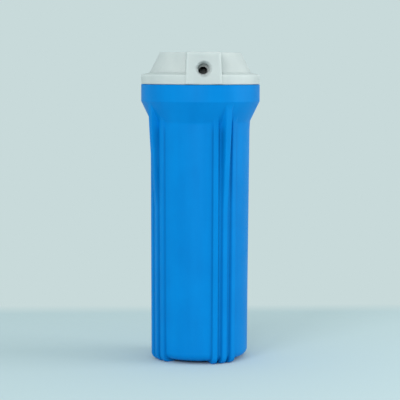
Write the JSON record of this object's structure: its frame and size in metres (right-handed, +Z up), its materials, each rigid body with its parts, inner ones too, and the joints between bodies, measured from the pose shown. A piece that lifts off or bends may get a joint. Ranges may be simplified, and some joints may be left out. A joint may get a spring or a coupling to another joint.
{
  "type": "cartridge filter housing",
  "caption": "Upright water filter housing: ribbed blue bowl, white screw-on cap with an inlet and an outlet port, and a pleated cartridge inside.",
  "frame": {"origin": "middle of the base, level with the feet of the ribs", "axes": "+Z up along the thread's axis; the inlet port faces -Y and the outlet port +Y"},
  "size_m": [0.115, 0.115, 0.298],
  "materials": {
    "sump": "semi-gloss moulded polypropylene",
    "cap": "satin moulded polypropylene",
    "o_ring": "satin rubber",
    "gasket": "matte closed-cell foam",
    "end_cap": "matte plastisol",
    "core": "satin moulded polypropylene",
    "media": "matte spunbond polyester",
    "netting": "satin extruded netting"
  },
  "bodies": {
    "sump": {"sump": "sump", "sump_o_ring": "o_ring"},
    "cartridge": {"cartridge_top_end_cap": "end_cap", "cartridge_bottom_end_cap": "end_cap", "cartridge_core": "core", "pleated_media": "media", "cartridge_netting": "netting", "top_gasket": "gasket", "bottom_gasket": "gasket"},
    "cap": {"cap": "cap"}
  },
  "joints": [
    {"name": "cap_lift", "type": "slide", "parent": "sump", "child": "cartridge", "axis": [0, 0, 1], "range_m": [0, 0.025]},
    {"name": "cap_turn", "type": "hinge", "parent": "cartridge", "child": "cap", "pos_m": [0, 0, 0.267], "axis": [0, 0, 1], "range_deg": [0, 1800]}
  ],
  "couplings": [
    {"joint": "cap_lift", "follows": "cap_turn", "m_per_rad": 0.00079577}
  ]
}
